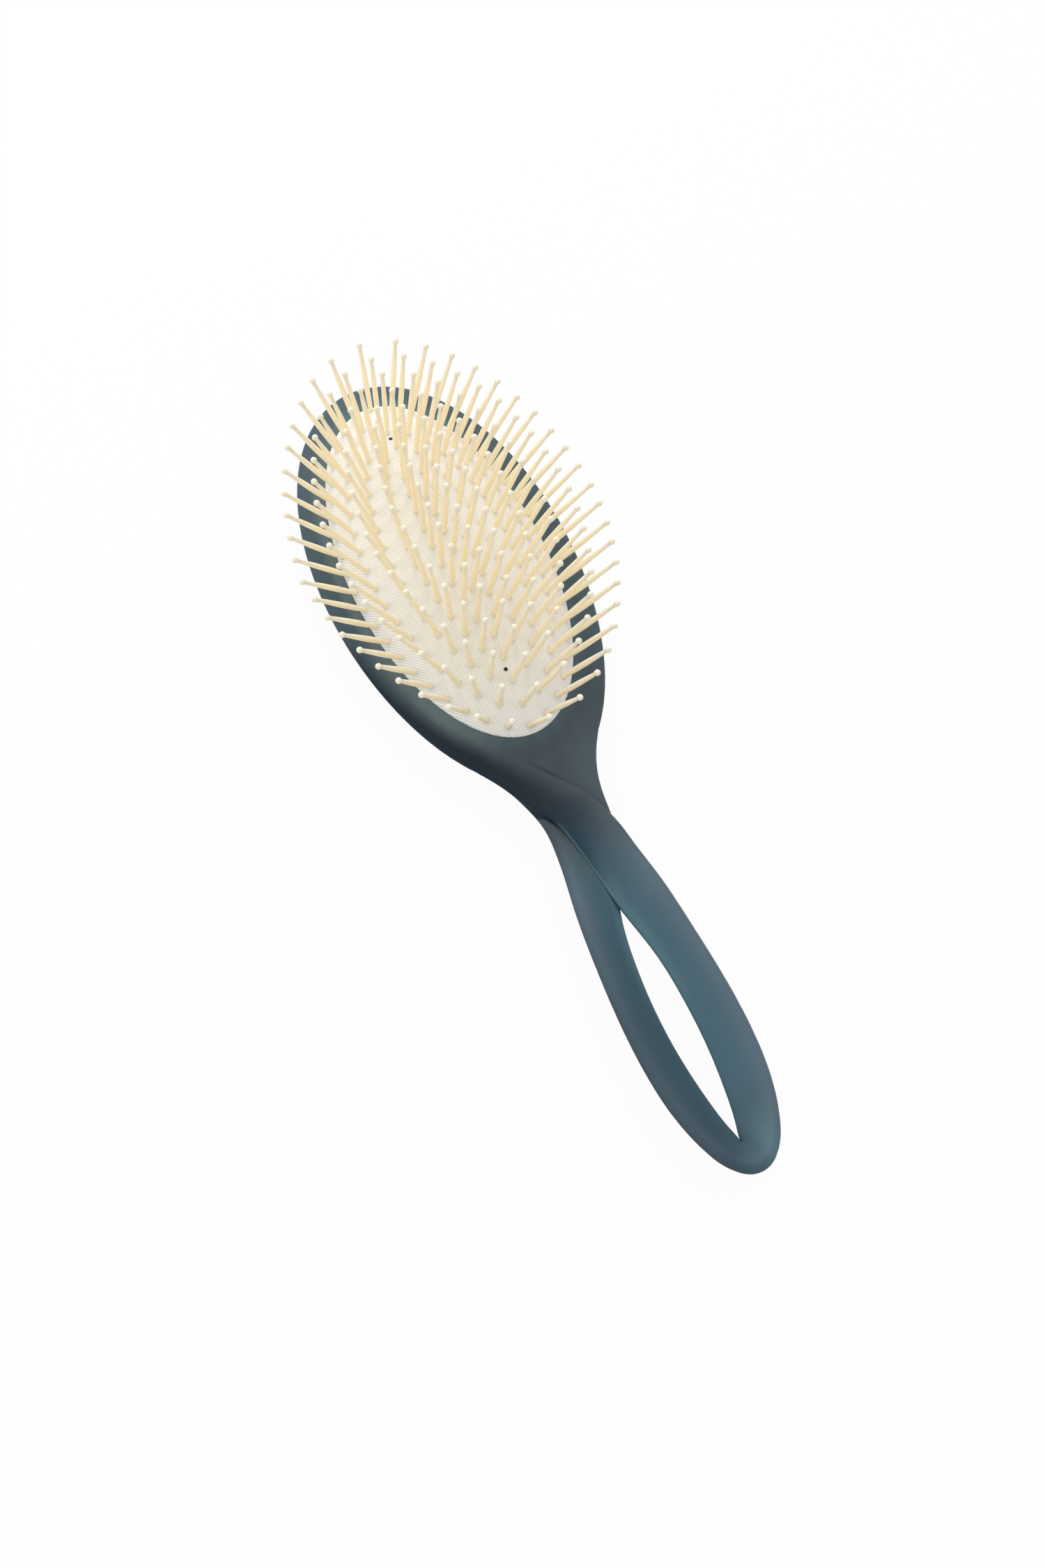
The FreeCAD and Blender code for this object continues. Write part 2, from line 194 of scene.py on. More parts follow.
class Finish(Nodes):
    """The shader of one material, or of the world."""

    def __init__(self, owner):
        self.owner = owner
        owner.use_nodes = True
        super().__init__(owner.node_tree)
        self.tree.nodes.clear()

    def math(self, operation, first, second=0.0):
        made = self.node("ShaderNodeMath", {"operation": operation}, {0: first, 1: second})
        return Number(self, made.outputs[0])

    def ease(self, value, low, high):
        """0 below low, 1 above high, smooth between."""
        made = self.node("ShaderNodeMapRange", {"interpolation_type": "SMOOTHSTEP"},
                         {"Value": value, "From Min": low, "From Max": high})
        return Number(self, made.outputs["Result"])

    def fall(self, value, low, high):
        """1 below low, 0 above high, smooth between."""
        return 1.0 - self.ease(value, low, high)

    def share(self, value, low, high):
        """0 below low, 1 above high, even between."""
        made = self.node("ShaderNodeMapRange", None, {"Value": value, "From Min": low, "From Max": high})
        return Number(self, made.outputs["Result"])

    def mix(self, share, first, second):
        """A colour between two others."""
        made = self.node("ShaderNodeMix", {"data_type": "RGBA"}, {0: share, 6: first, 7: second})
        return made.outputs[2]

    def layers(self, colour, *layers):
        """A colour with others laid over it in turn, each by its own share."""
        for share, over in layers:
            colour = self.mix(share, colour, over)
        return colour

    def place(self):
        """The object's own place, x and y, in millimetres from the middle of the cushion's edge."""
        where = self.node("ShaderNodeTexCoord").outputs["Object"]
        moved = self.node("ShaderNodeVectorMath", {"operation": "SUBTRACT"}, {0: where, 1: tuple(ORIGIN)})
        scaled = self.node("ShaderNodeVectorMath", {"operation": "SCALE"},
                           {0: moved.outputs[0], "Scale": 1.0 / MM})
        split = self.node("ShaderNodeSeparateXYZ", None, {0: scaled.outputs[0]})
        return scaled.outputs[0], Number(self, split.outputs["X"]), Number(self, split.outputs["Y"])

    def noise(self, vector, scale, detail=2.0, roughness=0.5):
        made = self.node("ShaderNodeTexNoise", None,
                         {"Vector": vector, "Scale": scale, "Detail": detail, "Roughness": roughness})
        return Number(self, made.outputs["Fac"])

    def attribute(self, name):
        made = self.node("ShaderNodeAttribute", {"attribute_name": name})
        return Number(self, made.outputs["Fac"])

    def bump(self, height, distance):
        made = self.node("ShaderNodeBump", None, {"Height": height, "Distance": distance, "Strength": 1.0})
        return made.outputs["Normal"]

    def plain_ray(self):
        """1 for the rays that should find pure white: straight from the camera, mirrored or let through."""
        path = self.node("ShaderNodeLightPath").outputs
        seen = self.math("MAXIMUM", path["Is Camera Ray"], path["Is Glossy Ray"])
        return self.math("MAXIMUM", seen, path["Is Transmission Ray"])

    def surface(self, **sockets):
        """Finish with a Principled shader; underscores stand for spaces."""
        inputs = {name.replace("_", " "): value for name, value in sockets.items()}
        shader = self.node("ShaderNodeBsdfPrincipled", None, inputs)
        self.node("ShaderNodeOutputMaterial", None, {"Surface": shader.outputs[0]})
        return self.owner


class FrameShade:
    """How much of each painted shade and painted light there is, from 0 to 1, at a place on the frame."""

    # Where down the brush each shade comes in or goes out, in millimetres
    neck_in = (24.0, 58.0)
    arm_end_in = (150.0, 170.0)
    thin_edge_out = (112.0, 146.0)
    end_patch_in = (158.0, 170.0)
    right_neck_in = (48.0, 66.0)
    right_neck_out = (78.0, 92.0)
    left_rim_out = (40.0, 58.0)
    left_arm_in = (84.0, 140.0)
    outer_rim_in = (2.0, 22.0)
    outer_rim_out = (52.0, 60.0)
    crossed_in = (70.0, 76.0)
    deep_arm_in = (70.0, 92.0)
    fold_in = (44.0, 54.0)
    fold_out = (84.0, 106.0)
    fold_widens = (50.0, 72.0)
    fold_narrows = (72.0, 94.0)
    fold_softens = (68.0, 84.0)
    crease_in = (58.0, 64.0)
    crease_out = (67.0, 73.0)
    seam_in = (77.0, 84.0)
    seam_out = (99.0, 104.0)

    # Where up the brush the left rim's shade goes out
    tip_in = (30.0, 50.0)

    # Ranges across the brush, or out from an edge, in millimetres
    thin_edge = (0.2, 2.8)
    end_patch_side = (0.0, 5.0)
    lip = (4.0, 9.0)
    right_neck_side = (1.0, 14.0)
    left_rim_side = (2.0, 14.0)
    left_arm_side = (0.0, 6.0)
    outer_rim_side = (4.0, 16.0)
    past_fold_edge = (-0.2, 0.4)
    crease_line = (0.15, 0.8)
    seam_line = (0.15, 0.6)

    # Ranges across the rim, as shares of its width; the outer one moves in by so much a millimetre
    left_rim_width = (0.2, 0.62)
    outer_rim_start = 0.72
    outer_rim_start_moves = 0.0068
    outer_rim_end = 1.28
    outer_rim_end_moves = 0.0108

    # The width of the painted shade over the fold as a share of its reach, and how much of that is fully
    # dark
    fold_width = 0.5
    fold_wider = 0.57
    fold_narrower = 0.6
    fold_core = 0.36

    # How the slit, the head's outline and the crease curve
    slit_power = 0.75
    outline_power = 1.15
    crease_power = 1.55

    # Strengths of the painted shade and painted light
    neck_share = 0.8
    cloud_share = 0.2
    arm_end_loss = 0.45
    right_neck_share = 0.4
    rim_least = 0.4
    left_rim_loss = 0.8

    # How much a wall faces up, from where its painted shade is full to where there is none
    wall_facing = (0.05, 0.6)

    def __init__(self, finish):
        self.finish = finish
        self.vector, self.x, self.y = finish.place()
        self.left = 0.0 - self.x
        self.low = 0.0 - self.y
        half_width, half_length = CUSHION_SIZES
        across = self.x / half_width
        along = (self.y - CUSHION_CENTRE_Y) / half_length
        self.from_cushion = ((across * across + along * along) ** 0.5 - 1.0) * half_width
        self.over_rim = self.from_cushion / RIM_REACH
        down_slit = finish.share(self.low, *SLIT)
        slit_half = finish.math("SINE", down_slit * math.pi) ** self.slit_power * SLIT_HALF_WIDTH
        self.from_slit = finish.math("ABSOLUTE", self.x) - slit_half
        self.arms = finish.ease(self.low, *ARM)
        # Painted light let through the thin arms, less of it near the handle's end
        self.arm_light = self.arms * (1.0 - finish.ease(self.low, *self.arm_end_in) * self.arm_end_loss)
        self.crossed = finish.ease(self.low, *self.crossed_in)
        self.from_fold = self.fold_distance()

    def between_places(self, comes, goes):
        """1 down the brush between the place where a shade comes in and the one where it goes out."""
        return self.finish.ease(self.low, *comes) * self.finish.fall(self.low, *goes)

    def fold_distance(self):
        """Distance to the right of the upper ribbon's edge, which runs on as the head's left outline."""
        share = self.finish.share
        outline_x = (1.0 - share(self.low, EDGE_TOP, SLIT[0])) ** self.outline_power * EDGE_TOP_X
        to_slit = 1.0 - share(self.low, CROSSING, SLIT[0])
        to_bend = 1.0 - share(self.low, CROSSING, CROSSING_BEND)
        ribbon_x = to_slit * CROSSING_X + to_bend * BEND_X
        return self.x - outline_x - (ribbon_x - outline_x) * self.crossed

    def neck_shade_and_cloud(self, cloud):
        """Painted shade towards the thick neck, with a faint cloud of uneven tone."""
        return self.finish.ease(self.low, *self.neck_in) * self.neck_share + cloud * self.cloud_share

    def thin(self):
        """Painted light let through the arms' thin edges along the upper slit, and a painted highlight on a
        patch at the handle's end.
        """
        edge = self.finish.fall(self.from_slit, *self.thin_edge)
        upper = self.finish.fall(self.low, *self.thin_edge_out)
        end = self.finish.ease(self.low, *self.end_patch_in)
        right = self.finish.ease(self.x, *self.end_patch_side)
        return self.finish.math("MAXIMUM", self.arm_light * upper * edge, end * right)

    def outside(self, lip_sheen_share):
        """Painted sheen on the arms' thick outer lips, and painted light on the right of the neck."""
        lip = self.finish.ease(self.from_slit, *self.lip) * self.arms
        neck = self.between_places(self.right_neck_in, self.right_neck_out)
        right = self.finish.ease(self.x, *self.right_neck_side)
        return self.finish.math("MAXIMUM", lip * lip_sheen_share, right * neck * self.right_neck_share)

    def rim(self, band):
        """Painted light in a narrow band round the cushion, strongest at the tip."""
        half_length = CUSHION_SIZES[1]
        to_tip = self.finish.ease(self.y, -half_length, half_length)
        share = to_tip * (1.0 - self.rim_least) + self.rim_least
        return self.finish.fall(self.from_cushion, 0.0, band) * share

    def left_rim_light(self):
        """Painted light on the inner half of the rim on the left."""
        inner = self.finish.fall(self.over_rim, *self.left_rim_width)
        left = self.finish.ease(self.left, *self.left_rim_side)
        below_tip = self.finish.fall(self.y, *self.tip_in)
        above_neck = 1.0 - self.finish.ease(self.low, *self.left_rim_out) * self.left_rim_loss
        return inner * left * below_tip * above_neck

    # Painted shade on the left arm towards the handle's end
    def left_arm_shade(self):
        left = self.finish.ease(self.left, *self.left_arm_side)
        return left * self.finish.ease(self.low, *self.left_arm_in)

    def outer_rim_shade(self):
        """Painted shade on the outer part of the rim at the lower left, wider the nearer it is to the neck.
        """
        start = self.outer_rim_start - self.low * self.outer_rim_start_moves
        end = self.outer_rim_end - self.low * self.outer_rim_end_moves
        left = self.finish.ease(self.left, *self.outer_rim_side)
        lower = self.between_places(self.outer_rim_in, self.outer_rim_out)
        return self.finish.share(self.over_rim, start, end) * left * lower

    def fold(self, reach):
        """Painted shade on the thick part of the upper ribbon beside its edge, widest before the crossing.
        """
        wider = self.finish.ease(self.low, *self.fold_widens) * self.fold_wider
        narrower = self.finish.ease(self.low, *self.fold_narrows) * self.fold_narrower
        end = (self.fold_width + wider - narrower) * reach
        softer = self.finish.ease(self.low, *self.fold_softens) * self.fold_core
        across = self.finish.fall(self.from_fold, end * (self.fold_core - softer), end)
        past_edge = self.finish.ease(0.0 - self.from_fold, *self.past_fold_edge) * self.crossed
        return across * (1.0 - past_edge) * self.between_places(self.fold_in, self.fold_out)

    def crease(self):
        """Painted shade in a thin line along the crease beside the upper ribbon, where it rises out of the
        head.
        """
        to_end = 1.0 - self.finish.share(self.low, *CREASE)
        middle = to_end ** self.crease_power * CREASE_TOP_X + CREASE_END_X
        line = self.finish.fall(self.finish.math("ABSOLUTE", self.x - middle), *self.crease_line)
        return line * self.between_places(self.crease_in, self.crease_out)

    def seam(self):
        """Painted highlight in a thin line along the upper ribbon's edge, between the crossing and the slit.
        """
        line = self.finish.fall(self.finish.math("ABSOLUTE", self.from_fold), *self.seam_line)
        return line * self.between_places(self.seam_in, self.seam_out)

    def wall_shade(self):
        """Painted shade on the outer walls, by how little they face up."""
        normal = self.finish.node("ShaderNodeNewGeometry").outputs["Normal"]
        facing = self.finish.node("ShaderNodeSeparateXYZ", None, {0: normal}).outputs["Z"]
        return self.finish.fall(facing, *self.wall_facing)


def frosted_plastic(settings):
    """Translucent blue-grey moulding with a fine frost; its colour carries painted shade on the neck, fold,
    crease, walls and left side, and painted light, sheen and highlights on the thin arms, lips, rims and
    seam.
    """
    finish = Finish(bpy.data.materials.new("frosted blue-grey plastic"))
    shade = FrameShade(finish)
    cloud = finish.noise(shade.vector, 0.05)
    # Painted shade: the fold, the outer rim and the crease darken towards the deep colours, more teal past
    # the crossing
    fold = shade.fold(settings.fold_reach / MM) * settings.fold_shade_share
    deep = finish.math("MAXIMUM", fold, shade.outer_rim_shade())
    deep = finish.math("MAXIMUM", deep, shade.crease() * settings.crease_shade_share)
    on_arm = finish.ease(shade.low, *shade.deep_arm_in)
    # Painted shade and painted light laid over the body colour; only the cloud in the first layer is uneven
    # tone
    colour = finish.layers(
        settings.colour,
        (shade.neck_shade_and_cloud(cloud), settings.colour_cloud_and_neck_shade),
        (shade.arm_light * settings.arm_light_share, settings.colour_arm_light),
        (shade.thin() * settings.edge_light_share, settings.colour_thin_light),
        (shade.outside(settings.lip_sheen_share), settings.colour_lip_sheen),
        (shade.rim(settings.rim_band / MM) * settings.rim_light_share, settings.colour_thin_light),
        (shade.left_rim_light(), settings.colour_left_rim_light),
        (shade.left_arm_shade() * settings.left_shade_share, settings.colour_left_shade),
        (deep, finish.mix(on_arm, settings.colour_deep_shade, settings.colour_deep_arm_shade)),
        (shade.seam() * settings.seam_highlight_share, settings.colour_seam_highlight),
        (shade.wall_shade() * settings.wall_shade_share, settings.colour_deep_shade))
    grain = finish.noise(shade.vector, 4.5, 2.0, 0.6)
    uneven = (grain - 0.5) * settings.uneven
    return finish.surface(Base_Color=colour, Roughness=settings.roughness + uneven, IOR=1.5,
                          Specular_IOR_Level=0.25, Normal=finish.bump(grain, settings.frost_depth))


def woven_rubber(settings):
    """Off-white rubber, embossed with a fine weave of staggered dips, with painted shade in the dips and the
    vent holes and a painted shadow round each pin's foot.
    """
    finish = Finish(bpy.data.materials.new("woven off-white rubber"))
    vector, x, y = finish.place()
    turn = settings.weave_angle
    along_row = x * math.cos(turn) + y * math.sin(turn)
    across_rows = y * math.cos(turn) - x * math.sin(turn)
    warp = finish.math("SINE", along_row * (2.0 * math.pi * MM / settings.weave_long))
    weft = finish.math("SINE", across_rows * (2.0 * math.pi * MM / settings.weave_short))
    weave = warp * weft
    cloud = finish.noise(vector, 0.09)
    speck = finish.noise(vector, 1.3, 3.0, 0.6)
    vent_radius = settings.vent_radius / MM
    vent_blur = 0.1
    # Vent holes: painted shade in the colour, and a shallow dip in the bump
    vents = 0.0
    for vent_x, vent_y in VENTS:
        off_x = x - vent_x
        off_y = y - vent_y
        distance = (off_x * off_x + off_y * off_y) ** 0.5
        vents = vents + finish.fall(distance, vent_radius - vent_blur, vent_radius + vent_blur)
    dip = finish.ease(0.0 - weave, 0.05, 0.85)
    # Painted shade in the dips and the vent holes and a painted shadow round each pin's foot, over a faint
    # cloud of uneven tone
    colour = finish.layers(
        settings.colour,
        (cloud * settings.cloud_share + dip * settings.weave_shade, settings.colour_cloud_and_dip_shade),
        (finish.attribute("root") * settings.root_shade, settings.colour_root_shadow),
        (vents, settings.colour_vent_shade))
    roughness = settings.roughness + weave * settings.uneven
    relief = weave * 0.5 + speck * 0.2 - vents * 3.0
    return finish.surface(Base_Color=colour, Roughness=roughness, IOR=1.45,
                          Normal=finish.bump(relief, settings.weave_depth))


def cream_plastic(settings):
    """Cream pins, paler towards the ball tip."""
    finish = Finish(bpy.data.materials.new("cream plastic"))
    cloud = finish.noise(finish.place()[0], 0.8)
    tip = finish.ease(finish.attribute("height"), 0.55, 1.0)
    colour = finish.layers(
        settings.colour,
        (cloud * settings.cloud_share, settings.colour_shade),
        (tip, settings.colour_tip))
    roughness = settings.roughness + (cloud - 0.5) * settings.uneven
    return finish.surface(Base_Color=colour, Roughness=roughness, IOR=1.48, Specular_IOR_Level=0.2,
                          Normal=finish.bump(cloud, settings.cloud_depth))


def white_ground():
    """White floor that shows as white and keeps a faint shadow."""
    finish = Finish(bpy.data.materials.new("white ground"))
    white_share = 0.95
    matt = finish.node("ShaderNodeBsdfDiffuse", None, {"Color": (0.86, 0.86, 0.86)})
    glow = finish.node("ShaderNodeEmission", None, {"Color": (1.0, 1.0, 1.0), "Strength": 1.0})
    both = finish.node("ShaderNodeMixShader", None,
                       {0: finish.plain_ray() * white_share, 1: matt.outputs[0], 2: glow.outputs[0]})
    finish.node("ShaderNodeOutputMaterial", None, {"Surface": both.outputs[0]})
    return finish.owner


def white_world(strength):
    """Even light from all round, at the given strength, that itself shows as pure white."""
    finish = Finish(bpy.data.worlds.new("studio"))
    power = finish.plain_ray() * (1.0 - strength) + strength
    background = finish.node("ShaderNodeBackground", None, {"Color": (1.0, 1.0, 1.0), "Strength": power})
    finish.node("ShaderNodeOutputWorld", None, {"Surface": background.outputs[0]})
    return finish.owner


def dome_height(x, y):
    """Height of the cushion above its edge, in millimetres."""
    across = x / CUSHION_SIZES[0]
    along = (y - CUSHION_CENTRE_Y) / CUSHION_SIZES[1]
    return CUSHION_HEIGHT * max(1e-6, 1.0 - across * across - along * along) ** CUSHION_POWER


def ring_places(half_width, half_length, count):
    """Places at even spacing round one ring of pins, clockwise from the tip."""
    steps = 720
    line = []
    for k in range(steps + 1):
        angle = 2.0 * math.pi * k / steps
        s = math.sin(angle)
        c = math.cos(angle)
        x = half_width * math.copysign(abs(s) ** RING_POINTEDNESS, s)
        y = CUSHION_CENTRE_Y + half_length * math.copysign(abs(c) ** RING_POINTEDNESS, c)
        line.append(Vector((x, y)))
    lengths = [0.0]
    for first, second in zip(line, line[1:]):
        lengths.append(lengths[-1] + (second - first).length)
    places = []
    k = 0
    for n in range(count):
        goal = lengths[-1] * n / count
        while lengths[k + 1] < goal:
            k += 1
        share = (goal - lengths[k]) / (lengths[k + 1] - lengths[k])
        places.append(line[k].lerp(line[k + 1], share))
    return places


def pin_feet():
    """Where every pin leaves the cushion, ring by ring and then the centre row."""
    feet = []
    for ring, count in enumerate(RING_COUNTS):
        if ring == 0:
            half_width, half_length = OUTER_RING
        else:
            half_width = SECOND_RING[0] - RING_PITCH[0] * (ring - 1)
            half_length = SECOND_RING[1] - RING_PITCH[1] * (ring - 1)
        feet.extend(ring_places(half_width, half_length, count))
    spacing = 2.0 * ROW_HALF_LENGTH / (ROW_COUNT - 1)
    for n in range(ROW_COUNT):
        feet.append(Vector((0.0, CUSHION_CENTRE_Y + ROW_HALF_LENGTH - spacing * n)))
    return feet


def mesh_object(name, points, faces, material=None):
    """A smooth piece from points in millimetres and faces."""
    mesh = bpy.data.meshes.new(name)
    mesh.from_pydata([place(*p) for p in points], [], faces)
    mesh.update()
    piece = bpy.data.objects.new(name, mesh)
    bpy.context.scene.collection.objects.link(piece)
    if material:
        mesh.materials.append(material)
    for polygon in mesh.polygons:
        polygon.use_smooth = True
    return piece


class FrameFinish(bpy.types.PropertyGroup):
    colour: bpy.props.FloatVectorProperty(
        name="Colour", description="Body colour of the frame", subtype="COLOR",
        default=srgb(69, 86, 94), min=0.0, max=1.0)
    # Painted shade towards the neck, also the tone of a faint cloud
    colour_cloud_and_neck_shade: bpy.props.FloatVectorProperty(
        name="Cool colour", description="Second shade that clouds the body colour", subtype="COLOR",
        default=srgb(63, 72, 79), min=0.0, max=1.0)
    # Painted light let through the thin arms
    colour_arm_light: bpy.props.FloatVectorProperty(
        name="Arm colour", description="Shade of the thin arms", subtype="COLOR",
        default=srgb(69, 99, 111), min=0.0, max=1.0)
    # Painted light let through thin edges, also the painted highlight at the handle's end and the painted
    # light round the cushion
    colour_thin_light: bpy.props.FloatVectorProperty(
        name="Edge colour", description="Shade of thin edges that let light through", subtype="COLOR",
        default=srgb(92, 126, 134), min=0.0, max=1.0)
    # Painted sheen on the lips, also the painted light on the right of the neck
    colour_lip_sheen: bpy.props.FloatVectorProperty(
        name="Lip colour", description="Shade of the arms' thick outer lips", subtype="COLOR",
        default=srgb(84, 99, 110), min=0.0, max=1.0)
    # Painted shade on the fold, the outer rim, the crease and the outer walls
    colour_deep_shade: bpy.props.FloatVectorProperty(
        name="Deep colour", description="Shade of the thickest part, where the upper ribbon leaves the head",
        subtype="COLOR", default=srgb(14, 31, 43), min=0.0, max=1.0)
    # Painted shade on the left arm
    colour_left_shade: bpy.props.FloatVectorProperty(
        name="Left colour", description="Shade of the left arm towards the end", subtype="COLOR",
        default=srgb(42, 62, 73), min=0.0, max=1.0)
    # Painted shade on the upper ribbon's edge past the crossing
    colour_deep_arm_shade: bpy.props.FloatVectorProperty(
        name="Deep arm colour", description="Shade of the thick edge of the upper ribbon past the crossing",
        subtype="COLOR", default=srgb(20, 54, 68), min=0.0, max=1.0)
    # Painted light on the left rim beside the cushion
    colour_left_rim_light: bpy.props.FloatVectorProperty(
        name="Rim colour", description="Shade of the left rim beside the cushion", subtype="COLOR",
        default=srgb(92, 108, 113), min=0.0, max=1.0)
    # Painted highlight along the upper ribbon's edge
    colour_seam_highlight: bpy.props.FloatVectorProperty(
        name="Seam colour", description="Shade of the thin light line between the ribbons", subtype="COLOR",
        default=srgb(112, 136, 144), min=0.0, max=1.0)
    # Strength of the painted shade on the outer walls
    wall_shade_share: bpy.props.FloatProperty(
        name="Side share", description="Strength of the deep shade on the outer walls",
        subtype="FACTOR", default=0.6, min=0.0, max=1.0)
    # Width and strength of the band of painted light round the cushion
    rim_band: bpy.props.FloatProperty(
        name="Rim band", description="Width of the pale band round the cushion",
        unit="LENGTH", default=2.4 * MM)
    rim_light_share: bpy.props.FloatProperty(
        name="Rim share", description="Strength of the pale band round the cushion",
        subtype="FACTOR", default=0.45, min=0.0, max=1.0)
    # Strength of the painted light on the arms
    arm_light_share: bpy.props.FloatProperty(
        name="Arm share", description="Strength of the arms' shade",
        subtype="FACTOR", default=0.9, min=0.0, max=1.0)
    # Strength of the painted light on the arms' inner edges
    edge_light_share: bpy.props.FloatProperty(
        name="Edge share", description="Strength of the pale inner edges of the arms",
        subtype="FACTOR", default=0.5, min=0.0, max=1.0)
    # Strength of the painted sheen on the lips
    lip_sheen_share: bpy.props.FloatProperty(
        name="Lip share", description="Strength of the lips' shade",
        subtype="FACTOR", default=0.8, min=0.0, max=1.0)
    # Strength of the painted shade on the left arm
    left_shade_share: bpy.props.FloatProperty(
        name="Left share", description="Strength of the left arm's shade",
        subtype="FACTOR", default=0.6, min=0.0, max=1.0)
    # Strength of the painted shade on the fold
    fold_shade_share: bpy.props.FloatProperty(
        name="Fold share", description="Strength of the deep shade",
        subtype="FACTOR", default=1.0, min=0.0, max=1.0)
    # Strength of the painted highlight along the ribbon's edge
    seam_highlight_share: bpy.props.FloatProperty(
        name="Seam share", description="Strength of the thin light line between the ribbons",
        subtype="FACTOR", default=0.4, min=0.0, max=1.0)
    # Strength of the painted shade along the crease
    crease_shade_share: bpy.props.FloatProperty(
        name="Crease share", description="Strength of the thin dark line beside the upper ribbon",
        subtype="FACTOR", default=0.4, min=0.0, max=1.0)
    fold_reach: bpy.props.FloatProperty(
        name="Fold reach", description="Width of the deep shade", unit="LENGTH", default=16.0 * MM)
    roughness: bpy.props.FloatProperty(
        name="Roughness", description="Frost of the surface",
        subtype="FACTOR", default=0.55, min=0.0, max=1.0)
    uneven: bpy.props.FloatProperty(
        name="Uneven", description="How far the frost grain changes the roughness",
        subtype="FACTOR", default=0.06, min=0.0, max=1.0)
    frost_depth: bpy.props.FloatProperty(
        name="Frost depth", description="Depth of the frost grain", unit="LENGTH", default=0.012 * MM)


class CushionFinish(bpy.types.PropertyGroup):
    colour: bpy.props.FloatVectorProperty(
        name="Colour", description="Body colour of the cushion", subtype="COLOR",
        default=srgb(253, 251, 247), min=0.0, max=1.0)
    # Painted shade in the weave's dips, also the tone of a faint cloud
    colour_cloud_and_dip_shade: bpy.props.FloatVectorProperty(
        name="Dip colour", description="Shade in the dips of the weave", subtype="COLOR",
        default=srgb(187, 182, 169), min=0.0, max=1.0)
    weave_shade: bpy.props.FloatProperty(
        name="Weave shade", description="How far the dips go to the dip colour",
        subtype="FACTOR", default=0.75, min=0.0, max=1.0)
    cloud_share: bpy.props.FloatProperty(
        name="Cloud share", description="How far a faint cloud goes to the dip colour",
        subtype="FACTOR", default=0.12, min=0.0, max=1.0)
    # Painted shadow where a pin leaves the cushion
    colour_root_shadow: bpy.props.FloatVectorProperty(
        name="Root colour", description="Shade where a pin leaves the cushion", subtype="COLOR",
        default=srgb(190, 180, 160), min=0.0, max=1.0)
    # Painted shade inside a vent hole, which the mesh does not cut
    colour_vent_shade: bpy.props.FloatVectorProperty(
        name="Vent colour", description="Shade inside a vent hole", subtype="COLOR",
        default=srgb(22, 20, 18), min=0.0, max=1.0)
    vent_radius: bpy.props.FloatProperty(
        name="Vent radius", description="Radius of a vent hole", unit="LENGTH", default=0.5 * MM)
    root_shade: bpy.props.FloatProperty(
        name="Root shade", description="How far the cushion goes to the root colour round a pin",
        subtype="FACTOR", default=0.35, min=0.0, max=1.0)
    weave_long: bpy.props.FloatProperty(
        name="Weave length", description="Spacing of the dips along a row", unit="LENGTH", default=0.7 * MM)
    weave_short: bpy.props.FloatProperty(
        name="Weave pitch", description="Height of two rows of dips", unit="LENGTH", default=0.84 * MM)
    weave_angle: bpy.props.FloatProperty(
        name="Weave angle", description="Turn of the weave's rows from straight across",
        subtype="ANGLE", default=math.radians(2.0))
    weave_depth: bpy.props.FloatProperty(
        name="Weave depth", description="Depth of the weave", unit="LENGTH", default=0.09 * MM)
    roughness: bpy.props.FloatProperty(
        name="Roughness", description="Roughness of the rubber",
        subtype="FACTOR", default=0.7, min=0.0, max=1.0)
    uneven: bpy.props.FloatProperty(
        name="Uneven", description="How far the weave changes the roughness",
        subtype="FACTOR", default=0.04, min=0.0, max=1.0)
    wall: bpy.props.FloatProperty(
        name="Wall", description="Thickness of the rubber", unit="LENGTH", default=1.4 * MM)


